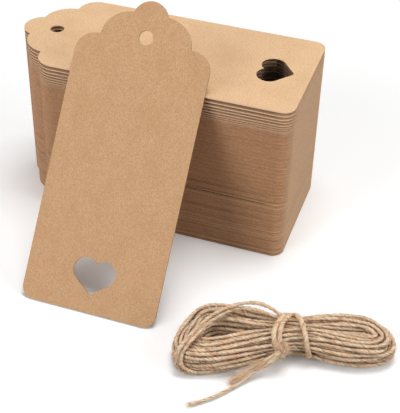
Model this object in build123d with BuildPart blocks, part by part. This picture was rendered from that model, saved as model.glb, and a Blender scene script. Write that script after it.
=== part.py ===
# A set of die-cut kraft gift tags: a pile of tags, one tag leaning on the pile, and a tied hank of twine.
# The origin is the middle of the pile's underside. +X runs along the tags to their heart end, +Z is up.
# Lengths are millimetres and angles are degrees.
import math
import os

from build123d import *

os.makedirs("parts", exist_ok=True)

# The tag: a card with a scalloped end, a string hole and a heart
tag_length = 99.4
tag_width = 45.0
card_thickness = 0.5
crest_width = 11.4            # the middle lobe of the scalloped end, between its notches
crest_height = 4.3
lobe_width = 30.2             # the two lobes beside the crest, between the outer notches
lobe_drop = 12.8              # outer notches, measured back from the top of the crest
lobe_bulge = 2.5
shoulder_drop = 19.3          # where the straight sides begin, measured from the top of the crest
notch_radius = 0.6
corner_radius = 4.0
hole_diameter = 4.7
hole_drop = 11.6              # centre of the string hole, measured from the top of the crest
heart_width = 14.2
heart_height = 11.5
heart_notch = 1.5             # depth of the dip between the lobes of the heart
heart_rise = 5.6              # tip of the heart above the straight end
heart_tip_radius = 0.8

# The pile: tight bundles below, loose tags on top
bundle_count = 9
tags_per_bundle = 10
loose_count = 9
tight_gap = 0.04              # air between two tags that are pressed together
loose_gap = 0.9               # air under the topmost tag
loose_power = 1.5             # how fast the air closes up below the topmost tag
seam_gap = 0.35               # the dark seam between two bundles
seam_after_bundle = 4
fine_twist = 0.09             # uneven stacking, as a turn about the string hole
twist_beat = 2.4              # steps the uneven stacking from tag to tag
bundle_twists = (0.05, -0.1, 0.0, -0.06, 0.16, 0.08, 0.2, 0.26, 0.2)
loose_twist = 0.12

# The leaning tag
lean_angle = 38.5             # from upright, back towards the pile
lean_offset = -0.6            # sideways from the middle of the pile
lean_clearance = 0.3          # between its back and the nearest edge of the pile

# The twine and its hank, in a frame of its own at the tie
twine_diameter = 1.8
turn_gap = 0.72               # air between turns that lie side by side or one above the other
layer_count = 4
turns_per_layer = 2
waist_half_gap = 0.72         # from the middle of the waist to the innermost run
waist_step = 2.75             # from one run to the next at the waist
left_reach = 37.0             # from the tie to the outside of the left end
right_reach = 29.5            # from the tie to the outside of the right end
left_eye_radius = 4.2         # innermost bend at the left end
right_eye_radius = 2.6        # innermost bend at the right end
hank_x = 64.9
hank_y = -62.0
hank_angle = 20.0             # turn of the hank's length from the tags' length
sample_spacing = 0.5          # for measuring the gaps between turns

# The tie, its knot and the two tails
tie_clearance = 0.35          # between the wraps and the runs that they hold
tie_near_places = (-4.2, -1.8, 4.2)
tie_far_places = (-3.0, 1.2, 5.4)
knot_length = 3.7
knot_depth = 3.3
knot_height = 5.0
knot_base = 2.6
knot_overlap = 1.1            # of the knot past the middle of the wrap that leaves it
knot_radius = 0.8
tail_exit = 4.0               # straight run out of the knot
long_tail_rise = 1.3          # above the underside of the knot
short_tail_rise = 3.7
long_tail_depth = 2.1         # out from the back of the knot
short_tail_depth = 1.2
# The tails' points beyond the straight run, in the hank's frame
long_tail_route = (
    (-15.4, -12.6, 2.4),
    (-20.4, -16.3, 1.1),
    (-26.0, -19.4, 0.9),
    (-31.9, -21.8, 0.9),
)
short_tail_route = (
    (-14.0, -9.6, 4.9),
    (-17.3, -10.9, 2.8),
    (-20.6, -12.2, 1.0),
)
fillet_share = 0.45           # of the shorter run that a bend of a tail takes up

# Places that follow from the sizes
crest_end = -hole_drop
straight_end = tag_length - hole_drop
hole_x = hole_drop - tag_length / 2
twine_radius = twine_diameter / 2

# The outline of one tag, drawn round its string hole with +X towards the heart end
inner_notch = (crest_end + crest_height, crest_width / 2)
outer_notch = (crest_end + lobe_drop, lobe_width / 2)
side_start = (crest_end + shoulder_drop, tag_width / 2)
side_end = (straight_end, tag_width / 2)

# The heart's lobes are circles that meet in the dip, and straight sides run from them to the tip
heart_tip = (straight_end - heart_rise, 0)
heart_lobe_radius = heart_width / 2 + heart_notch - math.sqrt(heart_width * heart_notch)
heart_lobe = (heart_tip[0] - heart_height + heart_lobe_radius, heart_width / 2 - heart_lobe_radius)
tip_way = math.atan2(-heart_lobe[1], heart_tip[0] - heart_lobe[0])
side_angle = math.degrees(tip_way + math.acos(heart_lobe_radius / math.dist(heart_lobe, heart_tip)))
dip_angle = math.degrees(2 * math.pi + math.atan2(-heart_lobe[1], heart_notch - heart_lobe_radius))


def both_sides(*points):
    """The points and their mirror images across the tag's length."""
    return [(x, side * y) for x, y in points for side in (1, -1)]


with BuildSketch() as tag_profile:
    with BuildLine():
        TangentArc((crest_end, 0), inner_notch, tangent=(0, 1))
        SagittaArc(inner_notch, outer_notch, lobe_bulge)
        TangentArc(side_start, outer_notch, tangent=(-1, 0))
        Polyline(side_start, side_end, (straight_end, 0))
        mirror(about=Plane.XZ)
    make_face()
    notches = both_sides(inner_notch, outer_notch)
    fillet([tag_profile.vertices().sort_by_distance(place)[0] for place in notches], notch_radius)
    corners = both_sides(side_end)
    fillet([tag_profile.vertices().sort_by_distance(place)[0] for place in corners], corner_radius)
    with BuildLine():
        heart_arc = CenterArc(heart_lobe, heart_lobe_radius, side_angle, dip_angle - side_angle)
        Line(heart_arc @ 0, heart_tip)
        mirror(about=Plane.XZ)
    make_face(mode=Mode.SUBTRACT)
    fillet(tag_profile.vertices().sort_by_distance(heart_tip)[0], heart_tip_radius)
    Circle(hole_diameter / 2, mode=Mode.SUBTRACT)


def tag_plane(underside, twist):
    """The plane of a flat tag, turned by twist about the pile's string hole."""
    turn = math.radians(twist)
    return Plane((hole_x, 0, underside), x_dir=(math.cos(turn), math.sin(turn), 0), z_dir=(0, 0, 1))


def uneven(tag_number):
    """The small turn that sets one tag off from its neighbours."""
    return fine_twist * math.sin(twist_beat * tag_number)


# The tight bundles, from the bottom up
underside = 0
tag_number = 0
for bundle_number in range(1, bundle_count + 1):
    planes = []
    for _ in range(tags_per_bundle):
        planes.append(tag_plane(underside, bundle_twists[bundle_number - 1] + uneven(tag_number)))
        underside += card_thickness + tight_gap
        tag_number += 1
    if bundle_number == seam_after_bundle:
        underside += seam_gap
    with BuildPart() as bundle:
        with BuildSketch(*planes):
            add(tag_profile.sketch)
        extrude(amount=card_thickness)
    bundle.part.label = f"bundle_{bundle_number}"
    export_step(bundle.part, f"parts/{bundle.part.label}.step")

# The loose tags, numbered from the top, with more and more air under them
for loose_number in range(loose_count, 0, -1):
    loose_share = (loose_count + 1 - loose_number) / loose_count
    underside += (loose_gap - tight_gap) * loose_share**loose_power
    with BuildPart() as loose_tag:
        with BuildSketch(tag_plane(underside, loose_twist + uneven(tag_number))):
            add(tag_profile.sketch)
        extrude(amount=card_thickness)
    loose_tag.part.label = f"loose_tag_{loose_number}"
    export_step(loose_tag.part, f"parts/{loose_tag.part.label}.step")
    underside += card_thickness + tight_gap
    tag_number += 1
pile_height = underside - tight_gap

# The leaning tag stands on its straight end, and its back lies along the pile's near top edge
lean = math.radians(lean_angle)
tag_up = Vector(0, math.sin(lean), math.cos(lean))
tag_front = Vector(0, -math.cos(lean), math.sin(lean))
back_foot_y = -tag_width / 2 - lean_clearance / math.cos(lean) - pile_height * math.tan(lean)
back_foot = Vector(lean_offset, back_foot_y, 0)
with BuildPart() as leaning_tag:
    with BuildSketch(Plane(back_foot + tag_up * straight_end, x_dir=-tag_up, z_dir=tag_front)):
        add(tag_profile.sketch)
    extrude(amount=card_thickness)
leaning_tag.part.label = "leaning_tag"
export_step(leaning_tag.part, "parts/leaning_tag.step")
front_foot = back_foot + tag_front * card_thickness
hole_front = front_foot + tag_up * straight_end

# The twine's own frame: along the hank, across it and up
turn = math.radians(hank_angle)
hank_frame = Plane((hank_x, hank_y, 0), x_dir=(math.cos(turn), math.sin(turn), 0), z_dir=(0, 0, 1))
along = hank_frame.x_dir
across = hank_frame.y_dir
up = hank_frame.z_dir


def place(x, y, z):
    """A point of the hank's frame, in the frame of the set."""
    return hank_frame.from_local_coords(Vector(x, y, z))


def arc_joint(near, near_way, far, far_way, near_length):
    """Where two tangent arcs from near to far meet, and the way they run there.

    near_length is the tangent length of the first arc, from near to the corner of its tangents."""
    span = far - near
    turning = 1 - near_way.dot(far_way)
    rest = span.dot(span) - 2 * near_length * span.dot(near_way)
    far_length = rest / (2 * (span.dot(far_way) + near_length * turning))
    near_corner = near + near_way * near_length
    far_corner = far - far_way * far_length
    joint = near_corner + (far_corner - near_corner) * (near_length / (near_length + far_length))
    return joint, (far_corner - near_corner).normalized()


def least_gap(runs):
    """The least air, up to one thickness, between stretches of one twine that are well apart along it."""
    points = []
    for run in runs:
        count = math.ceil(run.length / sample_spacing)
        points += run.positions([step / count for step in range(count)])
    cell = 2 * twine_diameter
    skip = math.ceil(math.pi * cell / sample_spacing)
    cells = {}
    for index, point in enumerate(points):
        key = tuple(math.floor(value / cell) for value in point)
        cells.setdefault(key, []).append((index, point))
    least = cell
    steps = (-1, 0, 1)
    for (i, j, k), members in cells.items():
        around = [cells.get((i + a, j + b, k + c), ()) for a in steps for b in steps for c in steps]
        for index, point in members:
            for other_index, other in (pair for group in around for pair in group):
                if other_index - index > skip:
                    least = min(least, (other - point).length)
    return least - twine_diameter


# The hank's turns grow outwards by one end_step a turn, or one waist_step where the tie draws them in
end_step = twine_diameter + turn_gap
layer_step = twine_diameter + turn_gap
waist_lift = twine_diameter + tie_clearance
spiral_shares = [1 / 4]
layer_places = [0]
growth = 1 / 4
for layer in range(layer_count):
    at_an_end = layer in (0, layer_count - 1)
    for _ in range(4 * turns_per_layer - at_an_end):
        spiral_shares.append(spiral_shares[-1] + growth)
        layer_places.append(layer)
    if layer < layer_count - 1:
        spiral_shares += [spiral_shares[-1], spiral_shares[-1]]
        layer_places += [layer + 1 / 2, layer + 1]
        growth = -growth


def waist_half(spiral_share):
    """Distance of a run from the middle of the waist."""
    return waist_half_gap + waist_step * spiral_share


def end_size(left, spiral_share):
    """How far a turn's end reaches from the tie, and the radius of its bend."""
    outer_reach, eye_radius = (left_reach, left_eye_radius) if left else (right_reach, right_eye_radius)
    reach = outer_reach - twine_radius - end_step * (turns_per_layer - spiral_share)
    return reach, eye_radius + end_step * spiral_share


def hank_node(quarter):
    """Point and way of the twine after so many quarter turns, from the near side of the waist."""
    spiral_share = spiral_shares[quarter]
    height = twine_radius + layer_step * layer_places[quarter]
    side = quarter % 4
    if side in (0, 2):
        sign = -1 if side == 0 else 1
        return place(0, sign * waist_half(spiral_share), height + waist_lift), along * -sign
    left = side == 3
    reach = end_size(left, spiral_share)[0]
    return place(-reach if left else reach, 0, height), across * (-1 if left else 1)


def hank_quarter(quarter):
    """The two arcs of a quarter turn that starts at a node of the hank."""
    start, start_way = hank_node(quarter)
    end, end_way = hank_node(quarter + 1)
    from_waist = quarter % 2 == 0
    at_waist, at_end = (quarter, quarter + 1) if from_waist else (quarter + 1, quarter)
    reach, bend = end_size(at_end % 4 == 3, spiral_shares[at_end])
    waist = waist_half(spiral_shares[at_waist])
    flare = bend - waist
    to_bend = reach - bend
    waist_length = (to_bend**2 - flare**2 - 2 * flare * waist) / (2 * to_bend)
    if from_waist:
        joint, joint_way = arc_joint(start, start_way, end, end_way, waist_length)
    else:
        joint, joint_way = arc_joint(end, -end_way, start, -start_way, waist_length)
        joint_way = -joint_way
    return [TangentArc(start, joint, tangent=start_way), TangentArc(joint, end, tangent=joint_way)]


hank_start, start_way = hank_node(0)
hank_end, end_way = hank_node(len(spiral_shares) - 1)
with BuildPart() as twine_hank:
    with BuildLine():
        hank_runs = [Line(hank_start - start_way * twine_diameter, hank_start)]
        for quarter in range(len(spiral_shares) - 1):
            hank_runs += hank_quarter(quarter)
        hank_runs.append(Line(hank_end, hank_end + end_way * twine_diameter))
    with BuildSketch(Plane(hank_runs[0] @ 0, z_dir=start_way)):
        Circle(twine_radius)
    sweep()
twine_hank.part.label = "twine_hank"
export_step(twine_hank.part, "parts/twine_hank.step")

# The tie wraps the waist with bends that follow the outermost runs
wrap_bend = twine_diameter + tie_clearance
near_run = -waist_half(turns_per_layer)
far_run = waist_half(turns_per_layer - 1 / 4)
low_run = twine_radius + waist_lift
high_run = low_run + (layer_count - 1) * layer_step
near_side = near_run - wrap_bend
far_side = far_run + wrap_bend
wrap_top = high_run + wrap_bend
wrap_bottom = low_run - wrap_bend
knot_top = knot_base + knot_height


def crossing(start, end, way):
    """Two arcs that carry the tie sideways as it crosses the hank."""
    span = end - start
    joint, joint_way = arc_joint(start, way, end, way, span.dot(span) / (4 * span.dot(way)))
    return [TangentArc(start, joint, tangent=way), TangentArc(joint, end, tangent=joint_way)]


def wrap_over(near_x, far_x, start_height):
    """The tie up the near side, over the top and down the far side."""
    return [
        Line(place(near_x, near_side, start_height), place(near_x, near_side, high_run)),
        TangentArc(place(near_x, near_side, high_run), place(near_x, near_run, wrap_top), tangent=up),
        *crossing(place(near_x, near_run, wrap_top), place(far_x, far_run, wrap_top), across),
        TangentArc(place(far_x, far_run, wrap_top), place(far_x, far_side, high_run), tangent=across),
        Line(place(far_x, far_side, high_run), place(far_x, far_side, low_run)),
    ]


def wrap_under(far_x, near_x):
    """The tie from the far side, under the hank, to the near side."""
    return [
        TangentArc(place(far_x, far_side, low_run), place(far_x, far_run, wrap_bottom), tangent=-up),
        *crossing(place(far_x, far_run, wrap_bottom), place(near_x, near_run, wrap_bottom), -across),
        TangentArc(place(near_x, near_run, wrap_bottom), place(near_x, near_side, low_run), tangent=-across),
    ]


with BuildPart() as twine_tie:
    with BuildLine():
        tie_runs = wrap_over(tie_near_places[0], tie_far_places[0], knot_top)
        for wrap in range(1, len(tie_near_places)):
            tie_runs += wrap_under(tie_far_places[wrap - 1], tie_near_places[wrap])
            tie_runs += wrap_over(tie_near_places[wrap], tie_far_places[wrap], low_run)
    with BuildSketch(Plane(tie_runs[0] @ 0, z_dir=up)):
        Circle(twine_radius)
    sweep()
twine_tie.part.label = "twine_tie"
export_step(twine_tie.part, "parts/twine_tie.step")

# The knot closes the first wrap on the near side, and both tails leave its left face
knot_back = near_side + twine_radius
knot_left = tie_near_places[0] + knot_overlap - knot_length
knot_middle = place(knot_left + knot_length / 2, knot_back - knot_depth / 2, knot_base)
with BuildPart() as tie_knot:
    with BuildSketch(Plane(knot_middle, x_dir=along, z_dir=up)):
        RectangleRounded(knot_length, knot_depth, knot_radius)
    extrude(amount=knot_height)
tie_knot.part.label = "tie_knot"
export_step(tie_knot.part, "parts/tie_knot.step")


def tail_points(depth, rise, route):
    """A tail's points, straight out of the knot and then along its route."""
    exit_point = (knot_left, knot_back - depth, knot_base + rise)
    straight_point = (knot_left - tail_exit, knot_back - depth, knot_base + rise)
    return [place(*point) for point in (exit_point, straight_point, *route)]


def bend_radii(points):
    """For each corner of a route, a bend that takes up its share of the shorter run."""
    radii = []
    for before, corner, after in zip(points, points[1:], points[2:]):
        half_turn = math.radians((corner - before).get_angle(after - corner)) / 2
        shorter = min((corner - before).length, (after - corner).length)
        radii.append(fillet_share * shorter / math.tan(half_turn))
    return radii


tails = (
    ("long_tail", tail_points(long_tail_depth, long_tail_rise, long_tail_route)),
    ("short_tail", tail_points(short_tail_depth, short_tail_rise, short_tail_route)),
)
for name, points in tails:
    radii = bend_radii(points)
    with BuildPart() as tail:
        with BuildLine():
            tail_line = FilletPolyline(*points, radius=radii)
        with BuildSketch(Plane(points[0], z_dir=-along)):
            Circle(twine_radius)
        sweep()
    tail.part.label = name
    export_step(tail.part, f"parts/{name}.step")
    tube = math.pi * twine_radius**2 * tail_line.length
    print(name, "length", round(tail_line.length, 2), "radii", [round(radius, 1) for radius in radii])
    print(name, "volume over section times length", round(tail.part.volume / tube, 4))

print("tags in the pile", tag_number, "pile height", round(pile_height, 3))
print("string hole axis at x", round(hole_x, 3))
print("leaning tag front foot", front_foot, "string hole front", hole_front, "front normal", tag_front)
for name, runs, part in (("hank", hank_runs, twine_hank.part), ("tie", tie_runs, twine_tie.part)):
    length = sum(run.length for run in runs)
    tube = math.pi * twine_radius**2 * length
    print(name, "twine length", round(length, 1), "least gap to itself", round(least_gap(runs), 3))
    print(name, "volume over section times length", round(part.volume / tube, 4))
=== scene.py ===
# %% [markdown]
# # A pile of kraft gift tags with a hank of jute twine
# The card tags come from the CAD model, because their outline, holes and places have real sizes.
# Blender adds what CAD leaves plain: the lay of the twine, its knot and loose fibres, and the look of
# the card. Every length here is in metres, in the frame of the CAD model.

import math

import bpy
import numpy as np
from mathutils import Matrix, Quaternion, Vector, kdtree


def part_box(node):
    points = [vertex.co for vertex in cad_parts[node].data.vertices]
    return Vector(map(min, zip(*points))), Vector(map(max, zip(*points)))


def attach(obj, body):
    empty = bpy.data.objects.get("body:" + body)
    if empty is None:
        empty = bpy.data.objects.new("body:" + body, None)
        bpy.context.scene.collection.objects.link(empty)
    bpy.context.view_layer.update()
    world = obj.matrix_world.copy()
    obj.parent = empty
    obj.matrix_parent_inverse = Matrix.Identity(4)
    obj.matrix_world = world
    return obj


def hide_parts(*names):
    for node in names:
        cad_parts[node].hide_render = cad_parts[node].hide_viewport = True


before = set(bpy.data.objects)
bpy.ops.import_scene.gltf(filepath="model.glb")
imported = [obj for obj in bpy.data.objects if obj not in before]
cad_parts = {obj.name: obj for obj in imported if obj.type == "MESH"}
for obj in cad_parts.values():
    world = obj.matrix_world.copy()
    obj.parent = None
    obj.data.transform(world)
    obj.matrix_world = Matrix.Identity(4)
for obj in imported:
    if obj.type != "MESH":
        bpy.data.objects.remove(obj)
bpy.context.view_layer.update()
scene = bpy.context.scene

# %% [markdown]
# ## The camera
# The photograph's perspective was worked out from the corners of the pile and of the leaning tag.
# A camera can be placed by angles, or by where it stands and what it looks at. The second is easier to
# read: it stands before the pile, a little to the right, and looks down at the middle of the set. A
# small roll levels it with the photograph.

# %% Place the camera
photo_height = 413
focal_length_pixels = 1077.5
camera_place = Vector((0.1071, -0.2883, 0.2381))
camera_target = Vector((0.0157, -0.0057, 0))
camera_roll = math.radians(1.5)

camera = bpy.data.objects.new("camera", bpy.data.cameras.new("camera"))
scene.collection.objects.link(camera)
camera.data.lens = focal_length_pixels * camera.data.sensor_width / photo_height
camera.location = camera_place
camera.rotation_mode = "QUATERNION"
level_view = (camera_target - camera_place).to_track_quat("-Z", "Y")
camera.rotation_quaternion = level_view @ Quaternion((0, 0, 1), camera_roll)
scene.camera = camera
print("lens", round(camera.data.lens, 1), "mm")

# %% [markdown]
# ## The hank's own frame
# The hank lies beside the pile, turned a little. Its turns are simpler to work out in a frame of its
# own: x runs along the hank, y across it and z up, with the floor at zero. One matrix then carries the
# finished points into the set.

# %% The hank's frame and the twine's size
twine_diameter = 0.0018
twine_radius = twine_diameter / 2
hank_middle = Vector((0.0649, -0.062, 0))
hank_angle = math.radians(20)
to_set = Matrix.Translation(hank_middle) @ Matrix.Rotation(hank_angle, 4, "Z")
millimetre = 0.001
random = np.random.default_rng(7)


def in_set(points):
    """Points of the hank's frame, in the frame of the set."""
    turn = np.array(to_set.to_3x3())
    return np.asarray(points, float) @ turn.T + np.array(to_set.translation)


print("hank at", [round(value, 4) for value in hank_middle])

# %% [markdown]
# ## A smooth line through a route
# Twine has no corners. A route is a list of points, and a NURBS curve that takes them as its control
# points runs smoothly past them. Blender turns such a curve into a line of close points when it makes a
# mesh of it, and those points are read back here.

# %% Draw a route as a smooth curve


def smooth_points(name, points, resolution):
    """Points of the smooth curve that has these points as its control points."""
    curve = bpy.data.curves.new(name, "CURVE")
    curve.dimensions = "3D"
    curve.resolution_u = resolution
    spline = curve.splines.new("NURBS")
    spline.points.add(len(points) - 1)
    for control, point in zip(spline.points, points):
        control.co = (*point, 1)
    spline.order_u = 3
    spline.use_endpoint_u = True
    drawn = bpy.data.objects.new(name, curve)
    mesh = bpy.data.meshes.new_from_object(drawn)
    places = np.array([vertex.co for vertex in mesh.vertices])
    bpy.data.objects.remove(drawn)
    bpy.data.meshes.remove(mesh)
    moved = np.linalg.norm(np.diff(places, axis=0), axis=1) > 1e-6
    return places[np.concatenate([[True], moved])]


def length_along(line):
    """How far along a line each of its points is."""
    return np.concatenate([[0], np.cumsum(np.linalg.norm(np.diff(line, axis=0), axis=1))])


def evenly(line, count):
    """The same line, with count points at even steps."""
    lengths = length_along(line)
    steps = np.linspace(0, lengths[-1], count)
    return np.stack([np.interp(steps, lengths, line[:, axis]) for axis in range(3)], axis=1)


print("routes are drawn as order 3 curves")

# %% [markdown]
# ## The hank's turns
# A hank is one length of twine, wound in turns and drawn in at the waist by a tie. Each turn could be
# drawn by hand, but there are over forty, they differ a little and they lie against each other. So the
# turns get rough places first, and a table of stations round a turn gives those. They were chosen from
# the photograph: where the outermost turn passes, where the innermost one does, and how low and high
# the bundle lies there.

# %% List the stations of a turn
stations = [
    # outer x and y, inner x and y, low, high, in millimetres
    (0, -4.7, 0, -0.7, 1.1, 11.3), (5.8, -5.2, 5.0, -0.7, 0.8, 10.8),
    (11.7, -6.7, 10.0, -0.8, 0, 9.6), (17.5, -7.8, 14.5, -1.2, 0, 9.2),
    (22.7, -7.9, 18.5, -1.8, 0, 8.8), (26.4, -7.2, 21.5, -1.9, 0, 8.4),
    (28.4, -4.9, 23.2, -1.3, 0, 8.0), (28.7, -2.2, 23.6, -0.4, 0, 7.8),
    (27.5, 1.3, 22.8, 0.8, 0, 8.0), (24.8, 4.4, 20.5, 1.5, 0, 8.4), (20.0, 6.2, 16.5, 1.4, 0, 8.8),
    (12.6, 7.2, 10.5, 0.9, 0, 9.4), (5.4, 5.9, 5.0, 0.7, 0.8, 10.6), (0, 4.6, 0, 0.7, 1.1, 11.3),
    (-5.0, 4.6, -5.0, 0.7, 0.8, 11.4), (-10.5, 5.6, -10.0, 0.9, 0, 11.2),
    (-15.6, 7.6, -15.0, 1.6, 0, 11.0), (-21.0, 9.6, -19.5, 2.9, 0, 10.6),
    (-25.5, 10.4, -23.5, 4.0, 0, 10.0), (-29.2, 9.2, -26.6, 3.4, 0, 9.2),
    (-32.6, 5.4, -28.0, 1.0, 0, 8.4), (-35.3, 0.6, -28.6, -0.6, 0, 8.0),
    (-36.6, -3.4, -28.6, -2.4, 0, 8.0), (-35.9, -7.2, -27.4, -3.8, 0, 8.4),
    (-32.4, -9.6, -24.0, -4.2, 0, 9.0), (-25.7, -10.0, -19.5, -3.2, 0, 9.8),
    (-17.8, -8.5, -14.5, -2.0, 0, 10.6), (-9.4, -6.3, -7.5, -0.9, 0.4, 11.2),
]

print("stations", len(stations))

# %% [markdown]
# The turns are wound between those stations: inwards, outwards and inwards again, and up all the while.
# Nothing wound by hand is regular, so random values that change smoothly along the twine shift each turn
# a little. The random numbers have a fixed start, which gives the same hank every time.

# %% Wind the rough turns
turn_count = 44
points_per_turn = 64
turns_per_layer = 6
floor_clearance = 0.00082
share_spread, share_changes = 0.14, 3
wander, wander_changes = 0.0006, 14
corner_rounds = 3


def between(low, high, share):
    """A smooth step from low to high."""
    share = np.clip(share, 0, 1)
    return low + (high - low) * share * share * (3 - 2 * share)


def per_turn(spread, turns, changes):
    """Random values, a number of changes for each turn, joined along the twine."""
    knots = np.arange(0, turn_count + 2, 1 / changes)
    return np.interp(turns, knots, random.uniform(-spread, spread, len(knots)))


def round_a_turn(table):
    """The table's values at every point of one turn, with the corners taken off."""
    rows = np.array(table + table[:1]) * millimetre
    places = np.linspace(0, len(table), points_per_turn, endpoint=False)
    values = np.stack([np.interp(places, np.arange(len(rows)), column) for column in rows.T], axis=1)
    for _ in range(corner_rounds):
        values = 0.5 * values + 0.25 * (np.roll(values, 1, axis=0) + np.roll(values, -1, axis=0))
    return values


turns = np.arange(turn_count * points_per_turn) / points_per_turn
outer_x, outer_y, inner_x, inner_y, low, high = np.tile(round_a_turn(stations), (turn_count, 1)).T
outward = 1 - np.abs((turns / turns_per_layer + 1.5) % 2 - 1)
outward += per_turn(share_spread, turns, share_changes)
upward = turns / turn_count + per_turn(share_spread, turns, share_changes)
rough = np.stack([
    inner_x + (outer_x - inner_x) * outward,
    inner_y + (outer_y - inner_y) * outward,
    floor_clearance + low + (high - low - floor_clearance) * upward,
], axis=1)
for axis in range(3):
    rough[:, axis] += per_turn(wander, turns, wander_changes)
print("rough turns", len(rough), "points")

# %% [markdown]
# The last two turns came loose when the hank was drawn tight. They rise from the tie in an arch, cross
# over the left end and come back underneath. No formula gives that, so their points are chosen from the
# photograph. Each loose part takes the place of the same part of a rough turn, and the joins are eased by
# moving their points towards the middle of their neighbours.

# %% Lay the two loose turns
last_turn_points = [
    (-0.6, 2.2, 11.0), (-3.4, 2.8, 11.2), (-5.2, 4.6, 14.0), (-7.1, 5.6, 15.2), (-10.6, 6.0, 15.8),
    (-14.1, 6.1, 15.8), (-17.1, 5.6, 15.3), (-20.4, 4.6, 14.8), (-24.2, 2.6, 14.0),
    (-27.2, 0.4, 13.3), (-29.4, -2.0, 12.6), (-31.7, -4.7, 11.8), (-34.1, -7.1, 10.4),
    (-35.9, -8.7, 8.2), (-36.5, -9.4, 5.8), (-35.9, -9.8, 3.6), (-33.8, -10.2, 1.8),
    (-30.3, -10.3, 0.9), (-26.1, -9.7, 0.9), (-21.6, -8.5, 1.1), (-16.7, -7.2, 1.8),
    (-9.0, -5.0, 2.4), (-1.0, -4.4, 4.2),
]
second_turn_points = [
    (-0.6, 1.4, 11.2), (-4.7, 2.4, 11.4), (-7.2, 3.1, 12.6), (-10.6, 4.3, 13.4), (-13.9, 5.0, 13.8),
    (-16.6, 5.3, 13.7), (-19.6, 4.5, 13.4), (-23.4, 2.2, 12.9), (-26.3, 0.0, 12.3),
    (-28.4, -2.4, 11.6), (-30.8, -5.0, 10.8), (-33.2, -7.1, 9.2), (-34.8, -8.8, 6.8),
    (-35.1, -9.5, 4.6), (-34.1, -10.1, 3.0), (-31.1, -10.5, 2.4), (-26.7, -10.1, 2.4),
    (-22.2, -9.0, 3.0), (-17.2, -7.9, 4.6), (-8.6, -5.6, 7.6), (-1.0, -3.4, 10.0),
]
loose_share = 15 / 28
loose_count = int(points_per_turn * loose_share)
easing_rounds, easing_reach = 6, 4
for turns_back, loose_points in ((1, last_turn_points), (2, second_turn_points)):
    loose_line = smooth_points("loose_turn", np.array(loose_points) * millimetre, resolution=12)
    end = len(rough) - (turns_back - 1) * points_per_turn
    start = end - loose_count
    rough[start:end] = evenly(loose_line, loose_count)
    for _ in range(easing_rounds):
        for join in (start, end % len(rough)):
            eased = slice(max(join - easing_reach, 1), join + easing_reach)
            middle = rough[eased]
            before = rough[eased.start - 1:eased.stop - 1]
            after = rough[eased.start + 1:eased.stop + 1]
            rough[eased] = 0.5 * middle + 0.25 * (before + after)
    print("loose turn", turns_back, "from the end has", len(loose_points), "points")

# %% [markdown]
# Strands of twine can't lie in each other. A small simulation pushes any two strands apart where they
# are closer than their thickness, keeps them off the floor, and holds them in a round bundle where the
# tie goes. Blender has a cloth and a rigid body simulation, but neither packs a long twine quickly, and
# two strands that are too close are easy to find from their points. The tie presses the strands, so they
# take less room at the waist.

# %% Find strands that lie in each other
waist_length = 0.009
pressed, loose = 0.00095, 0.0012
search_reach = 2.4
push_strength = 1.6


def strand_width(points):
    """How thick the twine lies: pressed together by the tie and loose in the ends."""
    return between(pressed, loose, (np.abs(points[:, 0]) - waist_length / 3) / waist_length)


def close_pairs(points):
    """Pairs of points on different strands that are near each other."""
    near = search_reach * loose
    squares = (points**2).sum(1)
    apart = squares[:, None] + squares[None] - 2 * points @ points.T
    first, second = np.nonzero(apart < near**2)
    far_along = second - first > points_per_turn // 4
    return first[far_along], second[far_along]


def gathered(numbers, values, count):
    """The values added up for each of the numbered points."""
    return np.stack([np.bincount(numbers, column, count) for column in values.T], axis=1)


def push_apart(points, first, second):
    """Moves for strands that lie in each other, square to the first one."""
    count = len(points)
    ways = np.gradient(points, axis=0)
    step = np.linalg.norm(ways, axis=1)
    ways /= step[:, None]
    offset = points[second] - points[first]
    lengthwise = (offset * ways[first]).sum(1)
    offset -= lengthwise[:, None] * ways[first]
    apart = np.maximum(np.linalg.norm(offset, axis=1), 1e-6)
    inside = np.maximum(strand_width(points)[first] - apart, 0)
    overlap = np.where(np.abs(lengthwise) < step[first], inside, 0)
    push = offset * (0.5 * overlap / apart)[:, None]
    moves = gathered(second, push, count) - gathered(first, push, count)
    touches = np.bincount(second, overlap > 0, count) + np.bincount(first, overlap > 0, count)
    return moves / np.maximum(touches, 1)[:, None] * push_strength, overlap.max()


print("close pairs at first", len(close_pairs(rough)[0]))

# %% [markdown]
# Each round moves the strands a little. Spreading a move along its strand keeps the turns smooth, and a
# slight pull towards the rough places keeps the bundle together. A very small drop in each round lets
# the turns sink on to each other.

# %% Push the strands apart
waist_radius = 0.0052
waist_middle = 0.0063
settling_rounds = 160
rounds_per_search = 8
strand_stiffness = 0.35
hold = 0.995
sinking = 0.000004
settled = rough.copy()
for settling_round in range(settling_rounds):
    if settling_round % rounds_per_search == 0:
        first, second = close_pairs(settled)
    moves, deepest = push_apart(settled, first, second)
    shift = settled + moves - rough
    shift[1:-1] += strand_stiffness * (0.5 * (shift[2:] + shift[:-2]) - shift[1:-1])
    settled = rough + hold * shift
    settled[:, 2] = np.maximum(settled[:, 2] - sinking, floor_clearance)
    in_tie = np.abs(settled[:, 0]) < waist_length / 2
    from_middle = settled[in_tie][:, 1:] - [0, waist_middle]
    distance = np.linalg.norm(from_middle, axis=1)
    drawn_in = from_middle * np.minimum(1, waist_radius / distance)[:, None]
    settled[in_tie, 1:] = drawn_in + [0, waist_middle]
settled[1:-1] = 0.5 * settled[1:-1] + 0.25 * (settled[2:] + settled[:-2])
hank_line = smooth_points("hank_line", in_set(settled), resolution=4)

# %% [markdown]
# ## Twisted plies
# Jute twine is three plies twisted together. A round tube with a bump texture would lose the notched
# outline, so the mesh is a section of three lobes that turns as it goes along the line. First comes the
# section. A short twine, such as the tie, gets three points to a ply, and the long hank two, which is
# enough where strands lie close.

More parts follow.
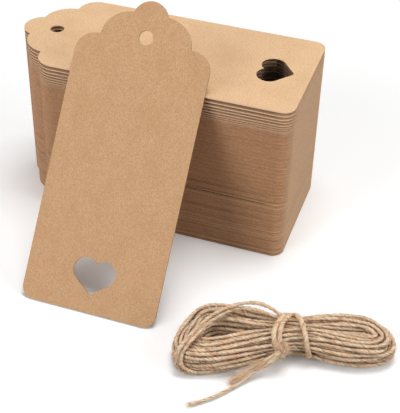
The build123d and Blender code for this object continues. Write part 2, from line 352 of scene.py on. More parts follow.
# %% Shape the section of the twine
ply_count = 3
ply_offset = 0.00018
ply_radius = 0.00042
fine_angles = [math.radians(degrees) for degrees in (-28, 28, 60)]
plain_angles = [math.radians(degrees) for degrees in (0, 60)]


def ply_section(ply_angles):
    """Angles round the twine, a few to a ply, and how far out its outline is at each."""
    angles, outline = [], []
    for ply in range(ply_count):
        for off in ply_angles:
            angles.append(off + ply * 2 * math.pi / ply_count)
            reach = math.sqrt(ply_radius**2 - (ply_offset * math.sin(off)) ** 2)
            outline.append(ply_offset * math.cos(off) + reach)
    return np.array(angles), np.array(outline)


for ply_angles in (fine_angles, plain_angles):
    print("a section of", len(ply_section(ply_angles)[0]), "points")

# %% [markdown]
# The section is set again and again along a line, each time turned a little further, and the rings are
# joined by faces. A curve with a bevel would do that too, but it keeps no record of the plies. Jute isn't
# spun evenly, so the twist wanders. Each point also keeps its place among the fibres: where it is round
# the section, before the twist, and how far along. The finish reads that later, so the fibres run along
# the plies.

# %% Twist the plies along a line
ply_pitch = 0.0044
twist_spread, twist_step = 1.6, 0.004


def add_fibre_map(mesh, places):
    """Keeps each point's place among the fibres, for the finish."""
    layer = mesh.attributes.new("fibre_map", "FLOAT_VECTOR", "POINT")
    layer.data.foreach_set("vector", np.asarray(places, np.float32).ravel())


def wandering(line, spread, step):
    """A value that wanders about 0 along a line."""
    lengths = length_along(line)
    knots = np.arange(0, lengths[-1] + step, step)
    return np.interp(lengths, knots, random.uniform(-spread, spread, len(knots)))


def twisted_twine(name, line, thickness, ply_angles):
    """A mesh of twisted plies along a line. Thickness is a share of the full size, at each point."""
    ways = np.gradient(line, axis=0)
    ways /= np.linalg.norm(ways, axis=1)[:, None]
    side = np.cross(ways[0], [0, 0, 1])
    sides = []
    for way in ways:
        side = side - way * side.dot(way)
        side = side / np.linalg.norm(side)
        sides.append(side)
    sides = np.array(sides)
    ups = np.cross(ways, sides)
    angles, outline = ply_section(ply_angles)
    section_sides = len(angles)
    lengths = length_along(line)
    twist = 2 * math.pi * lengths / ply_pitch + wandering(line, twist_spread, twist_step)
    around = angles[None] + twist[:, None]
    spokes = np.cos(around)[..., None] * sides[:, None] + np.sin(around)[..., None] * ups[:, None]
    rings = line[:, None] + (thickness[:, None] * outline[None])[..., None] * spokes
    corners = np.arange(len(line) * section_sides).reshape(len(line), section_sides)
    next_side = np.roll(corners, -1, axis=1)
    faces = np.stack([corners[:-1], next_side[:-1], next_side[1:], corners[1:]], axis=-1).reshape(-1, 4)
    caps = [corners[0][::-1].tolist(), corners[-1].tolist()]
    mesh = bpy.data.meshes.new(name)
    mesh.from_pydata(rings.reshape(-1, 3).tolist(), [], faces.tolist() + caps)
    mesh.shade_smooth()
    section = np.stack([np.cos(angles) * outline, np.sin(angles) * outline], axis=1)
    fibres = np.concatenate([
        np.tile(section, (len(line), 1)),
        np.repeat(lengths, section_sides)[:, None],
    ], axis=1)
    add_fibre_map(mesh, fibres)
    piece = bpy.data.objects.new(name, mesh)
    scene.collection.objects.link(piece)
    return piece


print("one twist of the plies in", ply_pitch / millimetre, "mm")

# %% [markdown]
# ## Gaps between the strands
# Between two strands little light comes in, and the light alone shows only part of that shade. So each
# point of the mesh keeps how near the next strand is, from 0 in the open to 1 where two strands press on
# each other, and the finish paints shade by that. A search tree of the line's points finds the next
# strand quickly. The point's own strand, a few rings each way, is left out.

# %% Mark the gaps
open_gap, closed_gap = 0.74, 0.48
own_rings = 14


def mark_gaps(piece, line, widths):
    """Keeps how deep each point lies in a gap between strands, from 0 to 1, for the finish's painted
    shade.
    """
    tree = kdtree.KDTree(len(line))
    for number, point in enumerate(line):
        tree.insert(point, number)
    tree.balance()
    sides = len(piece.data.vertices) // len(line)
    depths = []
    for number, vertex in enumerate(piece.data.vertices):
        ring = number // sides
        near = tree.find_range(vertex.co, open_gap * widths[ring])
        others = [distance for _, other, distance in near if abs(other - ring) > own_rings]
        nearest = min(others, default=open_gap * widths[ring]) / widths[ring]
        depths.append((open_gap - nearest) / (open_gap - closed_gap))
    depths = np.clip(depths, 0, 1)
    layer = piece.data.attributes.new("gap", "FLOAT", "POINT")
    layer.data.foreach_set("value", depths.astype(np.float32))
    return depths


print("a gap starts at", open_gap, "of a strand's width")

# %% [markdown]
# ## The hank
# The hank could have one thickness, but spun jute is uneven, so its strands swell and shrink, slowly and
# quickly. They are thinner where the tie presses them. The hank is one cord, and it stands for the plain
# hank of the CAD model.

# %% Make the hank
hank_share = 1.12
slow_swell, slow_step = 0.15, 0.0035
quick_swell, quick_step = 0.13, 0.0015
hank_local = (hank_line - np.array(to_set.translation)) @ np.array(to_set.to_3x3())
hank_thickness = hank_share + wandering(hank_line, slow_swell, slow_step)
hank_thickness = hank_thickness + wandering(hank_line, quick_swell, quick_step)
hank_thickness *= strand_width(hank_local) / loose
hank = twisted_twine("hank", hank_line, hank_thickness, plain_angles)
gaps = mark_gaps(hank, hank_line, strand_width(hank_local))
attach(hank, "twine")
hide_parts("twine_hank")
print("hank mesh", len(hank.data.polygons), "faces, in gaps", round(float(gaps.mean()), 2))

# %% [markdown]
# ## The tie
# A second, short length of the same twine goes three times round the waist and is knotted in front. It
# starts at the short tail, goes through the knot, round the bundle, through the knot again and out as
# the long tail. Round the bundle each point is a place along the hank and an angle, which is how a
# winding is easiest to think of: 0 degrees is the front, 90 the top, 180 the back and 270 the floor. The
# tails are lists of points, chosen from the photograph.

# %% List the tie's places
wrap_places = [
    # millimetres along the hank, degrees round it
    (-5.6, 12), (-6.3, 24), (-6.9, 38), (-7.0, 55), (-5.9, 80), (-4.2, 103), (-2.8, 128),
    (-2.4, 160), (-2.8, 200), (-2.2, 240), (1.0, 270), (3.4, 292), (4.2, 312), (4.0, 333),
    (3.4, 355), (2.8, 376), (2.4, 405), (1.8, 435), (1.2, 457), (0.4, 480), (-0.4, 508),
    (-1.0, 545), (-1.2, 590), (-1.8, 630), (-3.3, 660), (-4.2, 690), (-4.7, 716), (-5.2, 745),
    (-5.3, 775), (-4.2, 805), (-2.4, 830), (-1.2, 855), (-1.0, 900), (-1.8, 945), (-3.4, 985),
    (-4.2, 1015), (-4.5, 1050), (-4.7, 1085), (-4.9, 1098),
]
short_tail_points = [
    # x, y and z in the hank's frame, in millimetres
    (-18.2, -12.5, 1.5), (-16.6, -11.7, 2.0), (-14.2, -10.7, 3.1), (-10.8, -9.6, 4.9),
    (-7.6, -8.6, 6.4), (-6.0, -8.0, 7.6),
]
long_tail_points = [
    (-5.6, -8.3, 8.2), (-6.6, -9.2, 6.6), (-8.2, -9.8, 5.0), (-10.4, -10.2, 3.7),
    (-13.2, -11.3, 2.2), (-16.3, -13.5, 1.1), (-20.1, -16.2, 0.9), (-24.1, -18.8, 0.9),
    (-27.9, -20.7, 0.9), (-31.7, -21.9, 0.9),
]
print("tie places", len(short_tail_points) + len(wrap_places) + len(long_tail_points))

# %% [markdown]
# One smooth line runs past all of those places. The wraps are drawn thick, because nothing presses them,
# and the tails thinner, because their plies are coming undone. Each tail swells again at its cut end,
# where the fibres spread. A tube of one thickness would be simpler, but its ends would look like wire.

# %% Wind the tie and lay its tails
strand_radius = 0.0006
wrap_lift = 1.2
wrap_radius = waist_radius + pressed / 2 + wrap_lift * strand_radius
wrap_share, tie_swell, tie_step = 1.4, 0.08, 0.005
long_tail_share, long_tail_length, long_tail_fade = 0.82, 0.022, 0.008
short_tail_thinning, short_tail_length, short_tail_fade = 0.45, 0.011, 0.006
end_swell, long_end_length, short_end_length = 0.3, 0.0024, 0.004


def on_waist(place, degrees):
    """A point on the tie's way round the bundle, in the hank's frame."""
    angle = math.radians(degrees)
    height = waist_middle + wrap_radius * math.sin(angle)
    return place * millimetre, -wrap_radius * math.cos(angle), max(height, twine_radius)


tie_route = [np.array(point) * millimetre for point in short_tail_points]
tie_route += [on_waist(place, degrees) for place, degrees in wrap_places]
tie_route += [np.array(point) * millimetre for point in long_tail_points]
tie_line = smooth_points("tie_line", in_set(tie_route), resolution=14)
from_short_end = length_along(tie_line)
tie_length = from_short_end[-1]
from_long_end = tie_length - from_short_end
thickness = between(long_tail_share, wrap_share, (from_long_end - long_tail_length) / long_tail_fade)
thickness = thickness + end_swell * np.exp(-((from_long_end / long_end_length) ** 2))
thinning = between(-short_tail_thinning, 0, (from_short_end - short_tail_length) / short_tail_fade)
thinning = thinning + end_swell * np.exp(-((from_short_end / short_end_length) ** 2))
tie_thickness = thickness + thinning + wandering(tie_line, tie_swell, tie_step)
knot_middle = np.array((-5.0, -7.1, 8.3)) * millimetre

tie = twisted_twine("tie", tie_line, tie_thickness, fine_angles)
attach(tie, "twine")
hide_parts("twine_tie", "long_tail", "short_tail")
print("tie", round(tie_length, 3), "m")

# %% [markdown]
# ## The knot
# The knot is small and worn: the twine goes over and under itself and its fibres stand out. Its points
# could be placed by hand, but an overhand knot has the form of a trefoil, which a few sines and cosines
# give. It is pressed flat against the bundle, and its two ends don't quite meet.

# %% Tie the knot
knot_size = 0.00062
knot_depth = 0.00085
knot_height = 1.15
knot_opening = 0.06
knot_share, knot_swell, knot_step = 0.95, 0.08, 0.002
knot_turns = np.linspace(knot_opening, 2 * math.pi - knot_opening, 40)
knot_route = np.stack([
    knot_size * (np.sin(knot_turns) + 2 * np.sin(2 * knot_turns)),
    -knot_depth * np.sin(3 * knot_turns),
    knot_size * knot_height * (np.cos(knot_turns) - 2 * np.cos(2 * knot_turns)),
], axis=1) + knot_middle
knot_line = smooth_points("knot_line", in_set(knot_route), resolution=6)
knot_thickness = knot_share + wandering(knot_line, knot_swell, knot_step)
knot = twisted_twine("knot", knot_line, knot_thickness, fine_angles)
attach(knot, "twine")
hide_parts("tie_knot")
print("knot line", round(length_along(knot_line)[-1], 4), "m")

# %% [markdown]
# ## Loose fibres
# Jute is never clean: fine fibres stand off every strand, and the cut ends and the knot are frayed. Hair
# particles would do, but a mesh of thin three-sided fibres exports as it is. Each one starts in the
# twine, leaves it at a slant, bends and tapers. All points of a fibre keep one random place for the
# finish, which makes each fibre one shade.

# %% Make a mesh of fibres
fibre_radius = 0.00005
fibre_rings = 6
fibre_taper = 0.7
shade_spread = 0.3


def loose_fibres(name, starts, ways, lengths, bends):
    """A mesh of fine fibres, each from its start, along its way and bent aside."""
    count = len(starts)
    share = np.linspace(0, 1, fibre_rings)
    ways = ways / np.linalg.norm(ways, axis=1)[:, None]
    run = lengths[:, None] * share[None]
    spine = starts[:, None] + run[..., None] * ways[:, None]
    spine = spine + (lengths[:, None] * share[None] ** 2)[..., None] * bends[:, None]
    spine[..., 2] = np.maximum(spine[..., 2], 2 * fibre_radius)
    side = np.cross(ways, [0.31, 0.57, 0.76])
    side /= np.linalg.norm(side, axis=1)[:, None]
    up = np.cross(ways, side)
    taper = fibre_radius * (1 - fibre_taper * share)
    corners = []
    for angle in (0, 2 * math.pi / 3, 4 * math.pi / 3):
        spoke = math.cos(angle) * side + math.sin(angle) * up
        corners.append(spine + taper[None, :, None] * spoke[:, None])
    points = np.stack(corners, axis=2).reshape(-1, 3)
    numbers = np.arange(count * fibre_rings * 3).reshape(count, fibre_rings, 3)
    after = np.roll(numbers, -1, axis=2)
    faces = np.stack([numbers[:, :-1], after[:, :-1], after[:, 1:], numbers[:, 1:]], axis=-1)
    faces = faces.reshape(-1, 4)
    ends = np.concatenate([numbers[:, 0, ::-1], numbers[:, -1]])
    mesh = bpy.data.meshes.new(name)
    mesh.from_pydata(points.tolist(), [], faces.tolist() + ends.tolist())
    shades = np.repeat(random.uniform(0, shade_spread, (count, 3)), fibre_rings * 3, axis=0)
    add_fibre_map(mesh, shades)
    piece = bpy.data.objects.new(name, mesh)
    scene.collection.objects.link(piece)
    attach(piece, "twine")
    return piece


print("a fibre has", fibre_rings, "rings")

# %% [markdown]
# Two kinds of fibre are needed. Along the twine, fibres leave its surface at a flat or a steep angle, in
# either direction. At a cut end they fan out on past the end. Both helpers give where each fibre starts,
# which way it goes, how long it is and how it bends.

# %% Choose where fibres stand off
start_depth = 0.85
bend_spread = 0.3
fray_scatter, fray_bend = 0.00045, 0.15


def fibres_along(line, count, longest, flattest, steepest):
    """Starts, ways, lengths and bends of fibres that stand off a line of twine."""
    picked = random.integers(2, len(line) - 2, count)
    forward = line[picked + 2] - line[picked - 2]
    forward /= np.linalg.norm(forward, axis=1)[:, None]
    aside = random.normal(size=(count, 3))
    aside -= (aside * forward).sum(1)[:, None] * forward
    aside /= np.linalg.norm(aside, axis=1)[:, None]
    starts = line[picked] + start_depth * strand_radius * aside
    slant = random.uniform(flattest, steepest, count)[:, None]
    sense = random.choice([-1, 1], count)[:, None]
    bends = random.normal(scale=bend_spread, size=(count, 3))
    return starts, sense * forward + slant * aside, random.uniform(0.3, 1, count) * longest, bends


def frayed_end(tip, way, count, longest, spread):
    """Starts, ways, lengths and bends of fibres that fan out of a cut end."""
    starts = tip + random.normal(scale=fray_scatter, size=(count, 3))
    ways = way + random.normal(scale=spread, size=(count, 3))
    bends = random.normal(scale=fray_bend, size=(count, 3))
    return starts, ways, random.uniform(0.4, 1, count) * longest, bends


def way_between(start, end):
    """The direction from one point to another."""
    return (end - start) / np.linalg.norm(end - start)


print("fibres start at", start_depth, "of the strand's radius")

# %% [markdown]
# The hank has long fibres that stand off and short fuzz that lies close. The tie has fewer, the knot many
# for its size, and the short tail is frayed from its end to well up its length.

# %% Pull out the loose fibres
short_way = way_between(tie_line[20], tie_line[0])
long_way = way_between(tie_line[-20], tie_line[-1])
fibre_groups = {
    "hank_fibres": [fibres_along(hank_line, count=3400, longest=0.0034, flattest=0.08, steepest=0.7)],
    "hank_fuzz": [fibres_along(hank_line, count=5600, longest=0.0024, flattest=0.04, steepest=0.25)],
    "tie_fibres": [
        fibres_along(tie_line, count=360, longest=0.0026, flattest=0.05, steepest=0.6),
        fibres_along(knot_line, count=260, longest=0.004, flattest=0.08, steepest=0.7),
        frayed_end(tie_line[0], short_way, count=120, longest=0.003, spread=0.35),
        frayed_end(tie_line[16], short_way, count=120, longest=0.005, spread=0.28),
        frayed_end(tie_line[40], short_way, count=120, longest=0.006, spread=0.2),
        frayed_end(tie_line[-1], long_way, count=40, longest=0.0014, spread=0.3),
    ],
}
fibre_pieces = []
for name, groups in fibre_groups.items():
    fibre_pieces.append(loose_fibres(name, *[np.concatenate(values) for values in zip(*groups)]))
print("fibres", [len(piece.data.polygons) for piece in fibre_pieces], "faces")

# %% [markdown]
# ## Building a finish from nodes
# A finish is a tree of nodes. Each could be made and linked by hand, but the same few steps come again
# and again: add a node, set or link its inputs, mix two colours. Short helpers keep the recipes readable.

# %% Helpers for node recipes


def colour(text):
    """A colour written as in a paint chart, such as C8A177, as linear light."""
    parts = [int(text[place:place + 2], 16) / 255 for place in (0, 2, 4)]
    linear = [part / 12.92 if part <= 0.04045 else ((part + 0.055) / 1.055) ** 2.4 for part in parts]
    return (*linear, 1)


def add_node(tree, kind, inputs, **settings):
    """A new node, with its settings made and its inputs set or linked."""
    node = tree.nodes.new(kind)
    for name, value in settings.items():
        setattr(node, name, value)
    for name, value in inputs.items():
        if isinstance(value, bpy.types.NodeSocket):
            tree.links.new(value, node.inputs[name])
        else:
            node.inputs[name].default_value = value
    return node


def sums(tree, operation, first, second=0.0, third=0.0):
    """One step of arithmetic."""
    inputs = {0: first, 1: second, 2: third}
    return add_node(tree, "ShaderNodeMath", inputs, operation=operation).outputs[0]


def times(tree, first, second):
    """One value times another."""
    return sums(tree, "MULTIPLY", first, second)


def mixed(tree, share, low, high):
    """A colour between two colours."""
    node = add_node(tree, "ShaderNodeMix", {0: share, 6: low, 7: high}, data_type="RGBA")
    return node.outputs[2]


def ramp(tree, share, low, high):
    """A value from 0 to 1 as the share goes from low to high."""
    inputs = {"Value": share, "From Min": low, "From Max": high}
    return add_node(tree, "ShaderNodeMapRange", inputs, clamp=True).outputs[0]


def grain(tree, place, stretch, detail):
    """Noise at a place, with a number of grains per metre along each axis."""
    scaled = add_node(tree, "ShaderNodeVectorMath", {0: place, 1: stretch}, operation="MULTIPLY")
    inputs = {"Vector": scaled.outputs[0], "Scale": 1, "Detail": detail}
    return add_node(tree, "ShaderNodeTexNoise", inputs).outputs[0]


def new_finish(name):
    """An empty finish: its tree and its shader."""
    finish = bpy.data.materials.new(name)
    finish.use_nodes = True
    return finish, finish.node_tree, finish.node_tree.nodes["Principled BSDF"]


def raise_grain(tree, shader, height, depth, strength):
    """Bump the surface by a height, to a depth in metres."""
    inputs = {"Height": height, "Distance": depth, "Strength": strength}
    tree.links.new(add_node(tree, "ShaderNodeBump", inputs).outputs[0], shader.inputs["Normal"])


print("helpers ready")

# %% [markdown]
# ## The finish of the jute
# Jute is a straw-coloured bast fibre with pale, silky strands and brown flecks of bark. Streaks along
# the plies carry most of that, with dark lines and specks, and a slower change along the twine keeps the
# strands from looking alike. A picture of jute could be wrapped round the strands, but nodes keep the
# fibres sharp at any distance. The grooves between the plies get painted shade, and the gaps that were
# marked between the strands get the darkest painted shade. A little sheen lifts the edges, as short
# fibres do. The knot is redder and duller.

# %% Finish the twine
jute_colours = [colour(text) for text in ("824420", "E6AE7C", "FFD2A0", "FFEED0")]
# darker, redder and duller copies of the jute colours, for the knot
knot_colours = [colour(text) for text in ("7A4A34", "A8765A", "CB9C7C", "EED2B4")]
jute_gap_shade = colour("643016")
groove_top, groove_bottom = 0.00058, 0.00049
jute_bump = 0.00007


def jute(name, dark, tan, mid, pale):
    """Spun jute with its fibres along the plies."""
    finish, tree, shader = new_finish(name)
    place = add_node(tree, "ShaderNodeAttribute", {}, attribute_name="fibre_map").outputs["Vector"]
    streaks = grain(tree, place, (6000, 6000, 320), 3)
    slow = grain(tree, place, (300, 300, 150), 2)
    flecks = grain(tree, place, (3200, 3200, 700), 2)
    specks = grain(tree, place, (2000, 2000, 900), 2)
    gap = add_node(tree, "ShaderNodeAttribute", {}, attribute_name="gap").outputs["Fac"]
    section = add_node(tree, "ShaderNodeVectorMath", {0: place, 1: (1, 1, 0)}, operation="MULTIPLY")
    from_middle = add_node(tree, "ShaderNodeVectorMath", {0: section.outputs[0]}, operation="LENGTH")
    grooves = ramp(tree, from_middle.outputs["Value"], groove_top, groove_bottom)
    lines = grain(tree, place, (2600, 2600, 260), 2)
    twine = mixed(tree, ramp(tree, streaks, 0.32, 0.54), mid, pale)
    twine = mixed(tree, times(tree, ramp(tree, lines, 0.47, 0.31), 0.8), twine, dark)
    twine = mixed(tree, times(tree, ramp(tree, slow, 0.48, 0.64), 0.5), twine, tan)
    twine = mixed(tree, times(tree, ramp(tree, specks, 0.54, 0.7), 0.35), twine, dark)
    twine = mixed(tree, ramp(tree, flecks, 0.64, 0.78), twine, dark)
    # painted shade in the grooves between the plies
    twine = mixed(tree, times(tree, grooves, 0.25), twine, dark)
    # painted shade in the gaps between strands, by how near the next strand is
    twine = mixed(tree, times(tree, gap, 0.85), twine, jute_gap_shade)
    tree.links.new(twine, shader.inputs["Base Color"])
    tree.links.new(sums(tree, "MULTIPLY_ADD", streaks, 0.2, 0.7), shader.inputs["Roughness"])
    shader.inputs["Specular IOR Level"].default_value = 0.25
    shader.inputs["Sheen Weight"].default_value = 0.1
    shader.inputs["Sheen Roughness"].default_value = 0.5
    raise_grain(tree, shader, streaks, jute_bump, 0.6)
    return finish


twine_finish = jute("jute", *jute_colours)
knot_finish = jute("knot_jute", *knot_colours)
for piece in (hank, tie, *fibre_pieces):
    piece.data.materials.append(twine_finish)
knot.data.materials.append(knot_finish)
print("finished", twine_finish.name, "and", knot_finish.name)

# %% [markdown]
# ## The finish of the card
# Kraft card is pressed from unbleached pulp. Its face is even, with fine fibres that lie mostly one way,
# soft clouds and small dark flecks. A picture of card would show where it repeats, and noise that is
# stretched along the tag gives all three. The leaning tag gets a darker, slightly warmer copy of the
# colours of the tags that lie in the pile, which is painted shade, so the colours are chosen where the
# card is used.

# %% Colour the face of the card
edge_dark, edge_mid, edge_pale = colour("AA7852"), colour("D2A078"), colour("FFDAB8")


def card_face(tree, place, dark, mid, pale):
    """The colour of a face, and its fibres."""
    fibres = grain(tree, place, (1900, 3000, 3000), 3)
    clouds = grain(tree, place, (120, 150, 150), 2)
    flecks = grain(tree, place, (1100, 2100, 2100), 1)
    face = mixed(tree, ramp(tree, fibres, 0.3, 0.7), dark, pale)
    face = mixed(tree, 0.25, face, mid)
    face = mixed(tree, times(tree, ramp(tree, clouds, 0.45, 0.75), 0.3), face, dark)
    face = mixed(tree, times(tree, ramp(tree, flecks, 0.66, 0.78), 0.4), face, edge_dark)
    return face, fibres


print("darkest edge", [round(part, 2) for part in edge_dark[:3]])

# %% [markdown]
# A cut edge is darker and rougher than a face, and no two tags have quite the same edge, which is what
# shows a pile as many sheets. The finish numbers the tags by their height in the pile, and each number
# gets its own tone. Two dark lines of painted shadow cross the pile's edges, and below the lower one the
# tones differ more. Each tag gets a thin line of painted shade along the bottom of its edge. The loose
# tags at the top, and the leaning tag, get a painted highlight on their edges and a painted shadow line
# along each. Every bundle is one object, so the numbers that the finish needs for it are kept on the
# object itself, and an attribute node reads them.

# %% Colour the cut edges
# dark brown for painted shadows and shade, and for the darkest streaks of the lower pile
shadow_and_streak_brown = colour("2A160C")
# heights and strengths of two lines of painted shadow along gaps in the pile
seam_shadows = [(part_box("bundle_4")[1][2], 0.9), (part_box("bundle_5")[1][2] - 0.0028, 0.35)]
seam_blur = 0.0002
seam_wide, seam_narrow = 0.0005, 0.00025


def kept_value(tree, name):
    """The outputs for a value that is kept on the object."""
    return add_node(tree, "ShaderNodeAttribute", {}, attribute_type="OBJECT", attribute_name=name).outputs


def card_edge(tree, place, height):
    """The colour of the cut edges: each tag its own tone, with painted highlights and shadow lines."""
    tag = add_node(tree, "ShaderNodeSeparateXYZ", {0: kept_value(tree, "tag_place")["Vector"]}).outputs
    edge_light = kept_value(tree, "edge_paleness")["Fac"]
    layer = times(tree, sums(tree, "SUBTRACT", height, tag[0]), tag[1])
    number = sums(tree, "ADD", sums(tree, "FLOOR", layer), tag[2])
    shade = add_node(tree, "ShaderNodeTexWhiteNoise", {"W": number}, noise_dimensions="1D").outputs[0]
    layers = grain(tree, place, (500, 500, 9000), 2)
    pulp = sums(tree, "ADD", layers, grain(tree, place, (2400, 2400, 3200), 1))
    edge = mixed(tree, ramp(tree, pulp, 0.75, 1.25), edge_dark, edge_mid)
    lower = ramp(tree, height, seam_shadows[0][0] + seam_blur, seam_shadows[0][0] - seam_blur)
    palest = times(tree, sums(tree, "POWER", shade, 3), sums(tree, "MULTIPLY_ADD", lower, 0.2, 0.06))
    edge = mixed(tree, palest, edge, edge_pale)
    patches = ramp(tree, grain(tree, place, (70, 70, 1400), 2), 0.4, 0.65)
    darkest = times(tree, ramp(tree, shade, 0.5, 0.1), sums(tree, "MULTIPLY_ADD", lower, 0.3, 0.05))
    darkest = times(tree, darkest, patches)
    edge = mixed(tree, darkest, edge, shadow_and_streak_brown)
    # painted highlight on the edges of the loose tags and the leaning tag
    edge = mixed(tree, edge_light, edge, edge_pale)
    within = sums(tree, "FRACT", layer)
    # painted shade: a thin darker line along the bottom of every tag's edge, where the sheets meet
    edge = mixed(tree, times(tree, ramp(tree, within, 0.25, 0.05), 0.2), edge, edge_dark)
    # painted shadow along the lower part of the edges of the loose tags and the leaning tag
    painted_gap_shadow = times(tree, ramp(tree, within, 0.36, 0.2), edge_light)
    edge = mixed(tree, times(tree, painted_gap_shadow, 0.96), edge, shadow_and_streak_brown)
    along = add_node(tree, "ShaderNodeSeparateXYZ", {0: place}).outputs[0]
    straight = times(tree, ramp(tree, along, -0.03, -0.01), ramp(tree, along, 0.046, 0.042))
    # painted shadow lines along the gaps, only where the side of the pile runs straight
    for seam_height, depth in seam_shadows:
        from_seam = sums(tree, "ABSOLUTE", sums(tree, "SUBTRACT", height, seam_height))
        seam_shadow = times(tree, ramp(tree, from_seam, seam_wide, seam_narrow), straight)
        edge = mixed(tree, times(tree, seam_shadow, depth), edge, shadow_and_streak_brown)
    return edge


print("seams at", [round(height / millimetre, 1) for height, _ in seam_shadows], "mm")

# %% [markdown]
# ## The rim of the heart
# The heart cut-outs of the pile make a deep shaft, and hardly any light comes back out of it. Pale
# edges in there would show as stripes, so the card is darkened just round the heart. A mask could be
# painted, but a heart is two round lobes and a tip between two straight sides, and the distance to those
# is simple to work out. It is folded at the middle line, so one lobe and one side are enough.

# %% Find the rim of the heart
heart_lobe, heart_lobe_radius = Vector((0.036585, 0.003115, 0)), 0.003985
heart_side, heart_side_reach = (0.7864, 0.6177, 0), 0.03468
heart_shade, heart_blur = 0.0007, 0.0001


def measured(tree, vector, axis):
    """How far a vector reaches along an axis."""
    inputs = {0: vector, 1: axis}
    return add_node(tree, "ShaderNodeVectorMath", inputs, operation="DOT_PRODUCT").outputs["Value"]


def heart_rim(tree, along, across):
    """1 at the heart's outline and in it, fading to 0 a little outside: two round lobes and a tip."""
    sideways = sums(tree, "ABSOLUTE", across)
    folded = add_node(tree, "ShaderNodeCombineXYZ", {0: along, 1: sideways}).outputs[0]
    from_lobe = add_node(tree, "ShaderNodeVectorMath", {0: folded, 1: heart_lobe}, operation="DISTANCE")
    past_lobe = sums(tree, "SUBTRACT", from_lobe.outputs["Value"], heart_lobe_radius)
    past_side = sums(tree, "SUBTRACT", measured(tree, folded, heart_side), heart_side_reach)
    past_tip = sums(tree, "MAXIMUM", past_side, sums(tree, "SUBTRACT", heart_lobe.x, along))
    return ramp(tree, sums(tree, "MINIMUM", past_lobe, past_tip), heart_shade, heart_blur)


print("heart shaded to", heart_shade / millimetre, "mm from its outline")

# %% [markdown]
# ## The whole card
# One recipe joins the face, the edges and the rim of the heart. It tells faces from edges by the way that
# the surface faces, so it needs to know how the tag lies: the tags of the pile lie flat, and one leans.
# The straight end gets a greyer colour, a painted reflection of the white surroundings that it catches at
# a low angle. The rim is left out on the face of a tag that nothing covers, the top one of the pile and
# the leaning one.

# %% Put the card together
end_reflection_grey = colour("B79A78")
end_reflection_share, rim_share = 0.5, 0.9
card_bump = 0.00006
lying_colours = [colour(text) for text in ("CCA074", "E3BA8F", "F3D1A9")]
# a darker, slightly warmer copy of the lying colours: painted shade on the leaning tag
shaded_leaning_colours = [colour(text) for text in ("B5875D", "C89D71", "D9B188")]
lean = Vector((0, -0.782608, 0.622515))


def kraft(name, lengthwise, crosswise, facing, face_colours):
    """Kraft card that lies along these three directions."""
    finish, tree, shader = new_finish(name)
    ground = tree.nodes.new("ShaderNodeTexCoord").outputs
    parts = [measured(tree, ground["Object"], axis) for axis in (lengthwise, crosswise, facing)]
    place = add_node(tree, "ShaderNodeCombineXYZ", dict(enumerate(parts))).outputs[0]
    flatness = sums(tree, "ABSOLUTE", measured(tree, ground["Normal"], facing))
    face, fibres = card_face(tree, place, *face_colours)
    edge = card_edge(tree, place, parts[2])
    # painted reflection: the end that faces along the tag gets a greyer colour
    end_facing = ramp(tree, measured(tree, ground["Normal"], lengthwise), 0.6, 0.95)
    edge = mixed(tree, times(tree, end_facing, end_reflection_share), edge, end_reflection_grey)
    flat = ramp(tree, flatness, 0.4, 0.7)
    open_face = times(tree, flat, sums(tree, "SUBTRACT", 1, kept_value(tree, "covered")["Fac"]))
    shaded = sums(tree, "MULTIPLY_ADD", open_face, -rim_share, rim_share)
    rim = times(tree, heart_rim(tree, *parts[:2]), shaded)
    card = mixed(tree, rim, mixed(tree, flat, edge, face), shadow_and_streak_brown)
    tree.links.new(card, shader.inputs["Base Color"])
    tree.links.new(sums(tree, "MULTIPLY_ADD", fibres, 0.2, 0.6), shader.inputs["Roughness"])
    shader.inputs["Specular IOR Level"].default_value = 0.4
    raise_grain(tree, shader, fibres, card_bump, 0.5)
    return finish


lying_card = kraft("kraft_card_lying", (1, 0, 0), (0, 1, 0), (0, 0, 1), lying_colours)
leaning_card = kraft("kraft_card_leaning", lean.cross((1, 0, 0)), (1, 0, 0), lean, shaded_leaning_colours)
print("finishes", lying_card.name, "and", leaning_card.name)

# %% [markdown]
# The finish is given to every tag, with the values that it reads from the object: where the lowest tag of
# the object is, how many tags there are in a metre, the lowest tag's number, how much painted highlight
# and shadow its edges get and whether another tag covers it. The CAD meshes stay as they are.

# %% Finish the tags
card_thickness = 0.0005
tags_in_bundle = 10
# how strong the painted highlight and shadow are on the edges of the loose tags and the leaning tag
brightest_edge_light, edge_light_drop = 1.05, 0.1
leaning_edge_light = 0.8


def number_tags(node, tags, first_number):
    """Tells the finish where a node's lowest tag is, how many there are in a metre, and its number."""
    low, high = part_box(node)
    pitch = (high[2] - low[2] - card_thickness) / (tags - 1) if tags > 1 else card_thickness
    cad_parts[node]["tag_place"] = (low[2], 1 / pitch, float(first_number))


tag_number = 0
for node in sorted(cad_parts):
    if node.startswith("bundle"):
        number_tags(node, tags_in_bundle, tag_number)
        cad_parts[node]["edge_paleness"] = 0.0
        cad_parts[node]["covered"] = 1.0
        tag_number += tags_in_bundle
    elif node.startswith("loose_tag"):
        number_tags(node, 1, tag_number)
        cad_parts[node]["edge_paleness"] = brightest_edge_light - edge_light_drop * int(node[-1])
        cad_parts[node]["covered"] = float(node != "loose_tag_1")
        tag_number += 1
    else:
        continue
    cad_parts[node].material_slots[0].material = lying_card
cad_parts["leaning_tag"]["tag_place"] = (0.0, 1.0, float(tag_number))
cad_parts["leaning_tag"]["edge_paleness"] = leaning_edge_light
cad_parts["leaning_tag"]["covered"] = 0.0
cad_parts["leaning_tag"].material_slots[0].material = leaning_card
print("finished", tag_number + 1, "tags")

# %% [markdown]
# ## The floor
# The set stands on a plain white surface. A plane is enough for it. For the camera, and for reflections,
# it is full white and glows a little, so that it looks as white as paper where the light is full and
# still takes the shadows of the set. For the light that it throws back at the set it is greyer, because
# a white floor of this size would light the sides of the pile too much.

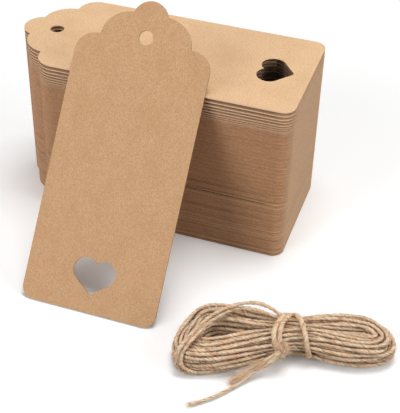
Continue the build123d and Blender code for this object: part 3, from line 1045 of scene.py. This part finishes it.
# %% Lay the floor
floor_size = 4
floor_drop = 0.0001
floor_glow = 0.08
floor_for_light, floor_for_camera = (0.45, 0.45, 0.45, 1), (1, 1, 1, 1)

bpy.ops.mesh.primitive_plane_add(size=floor_size, location=(0, 0, -floor_drop))
floor = bpy.context.object
floor.name = "floor"


def seen_rays(tree):
    """1 for rays of the camera, of reflections and of clear materials, 0 for rays of light."""
    path = tree.nodes.new("ShaderNodeLightPath").outputs
    seen = sums(tree, "MAXIMUM", path["Is Camera Ray"], path["Is Glossy Ray"])
    return sums(tree, "MAXIMUM", seen, path["Is Transmission Ray"])


floor_finish, floor_tree, floor_shader = new_finish("white_floor")
floor_seen = seen_rays(floor_tree)
floor_tree.links.new(
    mixed(floor_tree, floor_seen, floor_for_light, floor_for_camera), floor_shader.inputs["Base Color"])
floor_shader.inputs["Roughness"].default_value = 0.9
floor_shader.inputs["Specular IOR Level"].default_value = 0
floor_shader.inputs["Emission Color"].default_value = (1, 1, 1, 1)
floor_tree.links.new(
    times(floor_tree, floor_seen, floor_glow), floor_shader.inputs["Emission Strength"])
floor.data.materials.append(floor_finish)
print("floor", floor_size, "m")

# %% [markdown]
# ## The light
# The photograph was taken under broad, soft light. The faces that look up are much the lightest, so the
# main light is a large box overhead. The pile's right end is lighter than its near side, so a weaker one
# stands to the right. A third stands in front, to the left, for the leaning tag and the scalloped ends. A
# sun or a spot would be simpler, but its shadows would have hard edges. An even sky fills the rest.
# Together they light a level surface at about full strength, so that a colour looks as it is written.

# %% Light the set
sky_strength = 0.15
lamps = {
    # power in watts, width and place in metres
    "overhead_light": (5.2, 0.45, Vector((0.08, 0.08, 0.95))),
    "right_light": (2.8, 0.4, Vector((0.75, -0.1, 0.35))),
    "front_light": (3.2, 0.45, Vector((-0.45, -0.65, 0.42))),
}

scene.view_settings.view_transform = "Standard"
world = bpy.data.worlds.new("studio")
scene.world = world
world.use_nodes = True
background = world.node_tree.nodes["Background"]
background.inputs["Color"].default_value = (1, 1, 1, 1)
sky = add_node(world.node_tree, "ShaderNodeMapRange",
               {"Value": seen_rays(world.node_tree), "To Min": sky_strength, "To Max": 1})
world.node_tree.links.new(sky.outputs[0], background.inputs["Strength"])

for name, (power, size, place) in lamps.items():
    lamp = bpy.data.objects.new(name, bpy.data.lights.new(name, "AREA"))
    lamp.data.energy = power
    lamp.data.size = size
    lamp.location = place
    lamp.rotation_mode = "QUATERNION"
    lamp.rotation_quaternion = (-place).to_track_quat("-Z", "Y")
    scene.collection.objects.link(lamp)
    print(name, power, "W")
